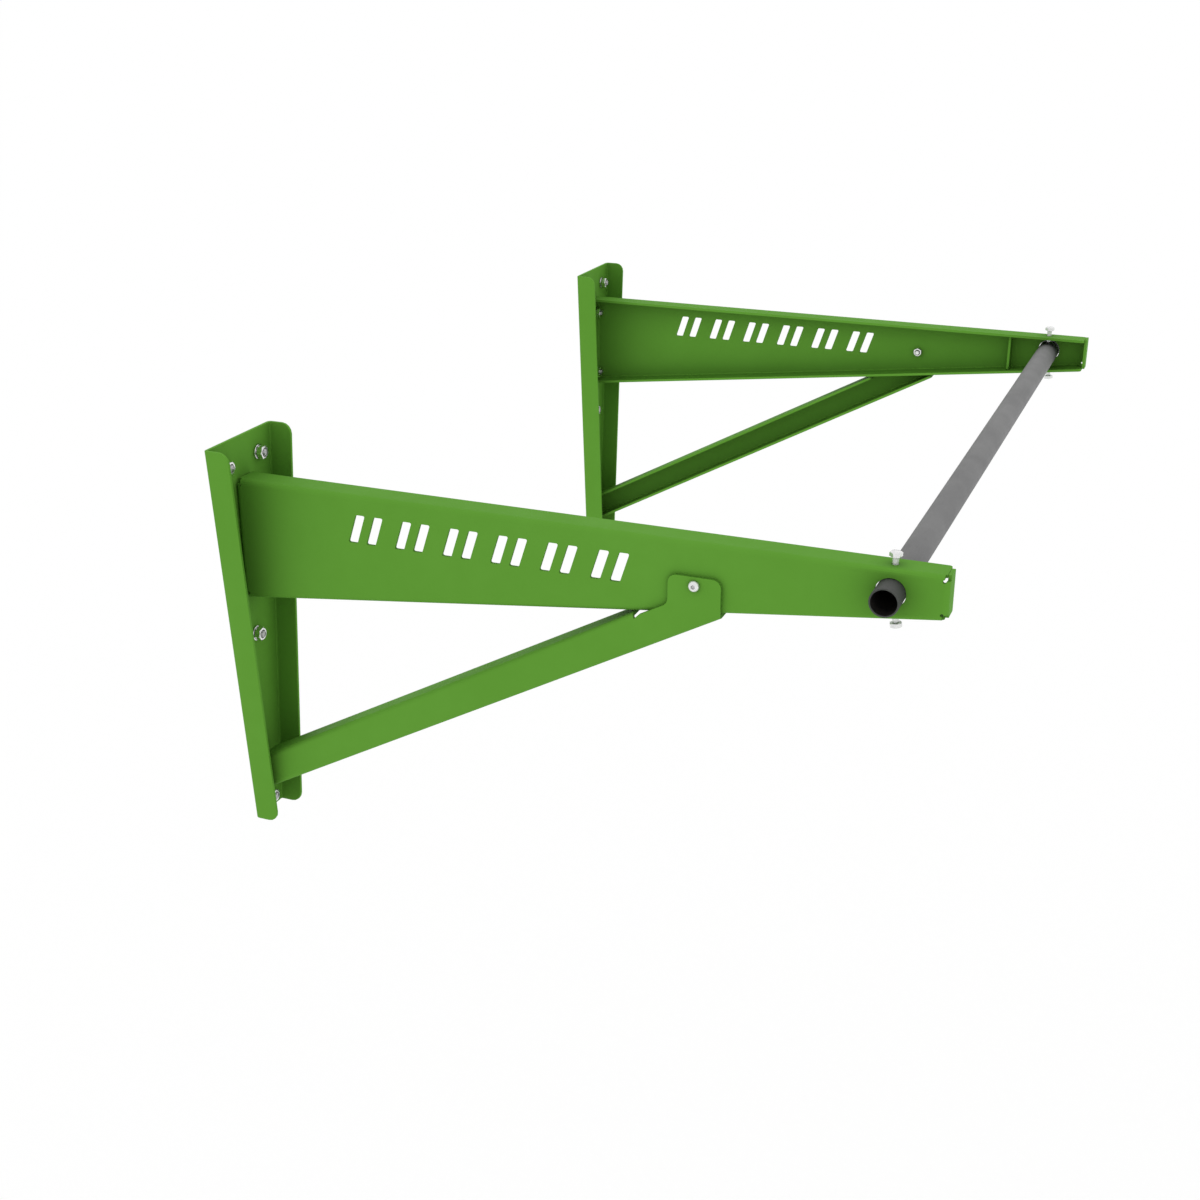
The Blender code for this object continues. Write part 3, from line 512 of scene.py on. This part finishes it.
def put(piece, start, axis, spin=0.0):
    """Stand the piece's Z axis on another axis, turned about it by spin."""
    turn = Vector(axis).to_track_quat("Z", "Y").to_matrix().to_4x4()
    piece.data.transform(Matrix.Translation(start) @ turn @ Matrix.Rotation(spin, 4, "Z"))


def finish_fastener(piece, node, start, axis, spin=0.0):
    put(piece, start, axis, spin)
    take_over(piece, node)


# ---------------------------------------------------------------- pieces
def refined_sheet(node):
    """The folded sheet of a CAD node with its cut edges rounded and its bends smooth."""
    bm = bmesh.new()
    bm.from_mesh(frame["nodes"][node].data)
    bmesh.ops.remove_doubles(bm, verts=bm.verts, dist=WELD_DISTANCE)
    piece = add_piece(node + "_coated", bm, SHEET_SMOOTH_ANGLE, GREEN)
    bevel = piece.modifiers.new("broken_edges", "BEVEL")
    bevel.width = EDGE_ROUNDING
    bevel.segments = EDGE_SEGMENTS
    bevel.limit_method = "ANGLE"
    bevel.angle_limit = SHEET_SMOOTH_ANGLE
    bevel.miter_outer = "MITER_ARC"
    flat = piece.modifiers.new("flat_webs", "WEIGHTED_NORMAL")
    flat.mode = "FACE_AREA"
    flat.weight = FACE_WEIGHT
    flat.keep_sharp = True
    take_over(piece, node)


def tube():
    """The tube with broken edges. Its skin, bore and cut ends each have their own finish."""
    start, length = span("bar", ACROSS)
    radius = size_along("bar", 2) / 2
    bore = radius - TUBE_WALL

    def end_profile(end, inward):
        inside = [(bore + TUBE_LIP * out, end + inward * TUBE_LIP * back) for out, back in LIP_INSIDE]
        outside = [(radius - TUBE_LIP * deep, end + inward * TUBE_LIP * back) for deep, back in LIP_OUTSIDE]
        return inside + outside

    bm = bmesh.new()
    add_turned_ring(bm, end_profile(length, -1.0) + end_profile(0.0, 1.0)[::-1], TUBE_SEGMENTS)
    finishes = [GREY, DARK_BORE, SAWN_END]
    piece = add_piece("grip_tube", bm, RING_SMOOTH_ANGLE, *finishes)
    for face in piece.data.polygons:
        reach = max(math.hypot(*piece.data.vertices[index].co.xy) for index in face.vertices)
        if reach < bore + TUBE_LIP * LIP_TOLERANCE:
            face.material_index = finishes.index(DARK_BORE)
        elif reach < radius - TUBE_LIP * LIP_TOLERANCE:
            face.material_index = finishes.index(SAWN_END)
    put(piece, start, ACROSS)
    take_over(piece, "bar")


def washer(node, spin):
    start, thickness = span(node, WALL_NORMAL)
    radius = size_along(node, 0) / 2
    bore = size_along(node.replace("_washer", "_stud"), 0) / 2 + WASHER_BORE_MARGIN
    rounding = WASHER_RIM * WASHER_RIM_SHARE
    profile = [
        (bore, thickness - WASHER_RIM), (bore + WASHER_RIM, thickness), (radius - WASHER_RIM, thickness),
        (radius - rounding, thickness - rounding), (radius, thickness - WASHER_RIM),
        (radius, WASHER_RIM), (radius - WASHER_RIM, 0.0), (bore + WASHER_RIM, 0.0), (bore, WASHER_RIM),
    ]
    bm = bmesh.new()
    add_turned_ring(bm, profile, ROUND)
    piece = add_piece(node + "_plated", bm, RING_SMOOTH_ANGLE, ZINC_NUT)
    finish_fastener(piece, node, start, WALL_NORMAL, spin)


def nut(node, axis, flats, thread_radius, spin):
    start, height = span(node, axis)
    bm = bmesh.new()
    add_hexagon(bm, flats, 0.0, height, thread_radius + NUT_BORE_MARGIN)
    piece = add_piece(node + "_plated", bm, NUT_SMOOTH_ANGLE, ZINC_NUT)
    finish_fastener(piece, node, start, axis, spin)


def stud(node):
    start, length = span(node, WALL_NORMAL)
    bm = bmesh.new()
    add_thread(bm, size_along(node, 0) / 2, ANCHOR_THREAD_DEPTH, ANCHOR_PITCH, length, ANCHOR_THREAD_CHAMFER)
    piece = add_piece(node + "_threaded", bm, STUD_SMOOTH_ANGLE, ZINC_STUD)
    finish_fastener(piece, node, start, WALL_NORMAL)


def set_bolt(node, axis, spin):
    """Hexagon head with a round face under it, over a threaded shank."""
    start, length = span(node, axis)
    flats = size_along(node, 0)
    seat = length - SET_BOLT_HEAD
    bm = bmesh.new()
    add_hexagon(bm, flats, seat + WASHER_FACE, length, foot_chamfer=False)
    add_disc(bm, flats / 2 * WASHER_FACE_SHARE, seat, seat + 2 * WASHER_FACE)
    add_thread(bm, BOLT_RADIUS, BOLT_THREAD_DEPTH, BOLT_PITCH, seat + WASHER_FACE, SET_BOLT_CHAMFER)
    piece = add_piece(node + "_plated", bm, SET_BOLT_SMOOTH_ANGLE, ZINC_BOLT)
    finish_fastener(piece, node, start, axis, spin)


def button_screw(node, axis):
    """Domed head with a hexagon socket, over a threaded shank."""
    start, length = span(node, axis)
    seat = length - BUTTON_HEAD
    reach = size_along(node, 1) / 2
    crown = reach * BUTTON_CROWN_SHARE
    bm = bmesh.new()
    rings = [add_point(bm, seat), add_ring(bm, seat, BOLT_RADIUS * BUTTON_ROOT_SHARE),
             add_ring(bm, seat, reach - BUTTON_RIM), add_ring(bm, seat + BUTTON_RIM, reach)]
    for step in range(1, DOME_STEPS + 1):
        angle = math.radians(90) * step / DOME_STEPS
        height = seat + BUTTON_RIM + (BUTTON_HEAD - BUTTON_RIM) * math.sin(angle)
        rings.append(add_ring(bm, height, crown + (reach - crown) * math.cos(angle)))
    for depth in (0.0, SOCKET_DEPTH):
        rings.append(add_ring(bm, length - depth, lambda angle: hexagon_radius(angle, SOCKET_FLATS)))
    rings.append(add_point(bm, length - SOCKET_DEPTH * SOCKET_POINT_SHARE))
    join_all(bm, rings)
    add_thread(bm, BOLT_RADIUS, BOLT_THREAD_DEPTH, BOLT_PITCH, seat + BUTTON_RIM, BUTTON_SCREW_CHAMFER)
    piece = add_piece(node + "_plated", bm, BUTTON_SMOOTH_ANGLE, ZINC_BOLT)
    finish_fastener(piece, node, start, axis)


def finish_node(node, spin):
    """Give a CAD node its finished piece, by the kind of part its name ends with."""
    outward = -ACROSS if node.startswith("left") else ACROSS
    if node.endswith(("_wall_channel", "_arm", "_arm_rib", "_brace")):
        refined_sheet(node)
    elif node.endswith("_stud"):
        stud(node)
    elif node.endswith("_washer"):
        washer(node, spin)
    elif node.endswith("_brace_nut"):
        nut(node, outward, size_along(node, 1), BOLT_RADIUS, 0.0)
    elif node.endswith("_nut"):
        nut(node, WALL_NORMAL, size_along(node, 0), size_along(node.replace("_nut", "_stud"), 0) / 2, spin)
    elif node.endswith("_set_bolt"):
        set_bolt(node, travel_axis(node), spin)
    elif node.endswith("_brace_screw"):
        button_screw(node, outward)


# ---------------------------------------------------------------- floor, light and camera
def floor():
    material, n = new_material("pale_floor")
    diffuse = n.add("ShaderNodeBsdfDiffuse", {"Color": rgb(FLOOR_TONE, FLOOR_TONE, FLOOR_TONE)})
    glow = n.add("ShaderNodeEmission", {"Color": rgb(1.0, 1.0, 1.0),
                                        "Strength": n.math("MULTIPLY", n.seen(), FLOOR_GLOW)})
    both = n.add("ShaderNodeAddShader", {0: diffuse.outputs[0], 1: glow.outputs[0]})
    n.add("ShaderNodeOutputMaterial", {"Surface": both.outputs[0]})
    bm = bmesh.new()
    bmesh.ops.create_grid(bm, x_segments=1, y_segments=1, size=FLOOR_SIZE / 2)
    piece = add_piece("floor", bm, RING_SMOOTH_ANGLE, material)
    lowest, highest = cad_box
    piece.location = ((lowest[0] + highest[0]) / 2, (lowest[1] + highest[1]) / 2, lowest[2] - FLOOR_DROP)


def world_light():
    """Even white light from all round."""
    world = bpy.data.worlds.new("studio")
    bpy.context.scene.world = world
    world.use_nodes = True
    n = Nodes(world.node_tree)
    background = n.add("ShaderNodeBackground", {"Color": rgb(1.0, 1.0, 1.0), "Strength": 1.0})
    n.add("ShaderNodeOutputWorld", {"Surface": background.outputs[0]})


def camera():
    data = bpy.data.cameras.new("camera")
    data.lens = CAMERA_LENS
    data.sensor_width = SENSOR
    data.clip_end = CAMERA_REACH
    view = bpy.data.objects.new("camera", data)
    bpy.context.scene.collection.objects.link(view)
    view.location = CAMERA_PLACE
    view.rotation_euler = CAMERA_DIRECTION.to_track_quat("-Z", "Y").to_euler()
    bpy.context.scene.camera = view


tube()
for index, node in enumerate(sorted(frame["nodes"])):
    finish_node(node, FASTENER_TURN * index)
floor()
world_light()
camera()
bpy.context.scene.view_settings.view_transform = "Standard"
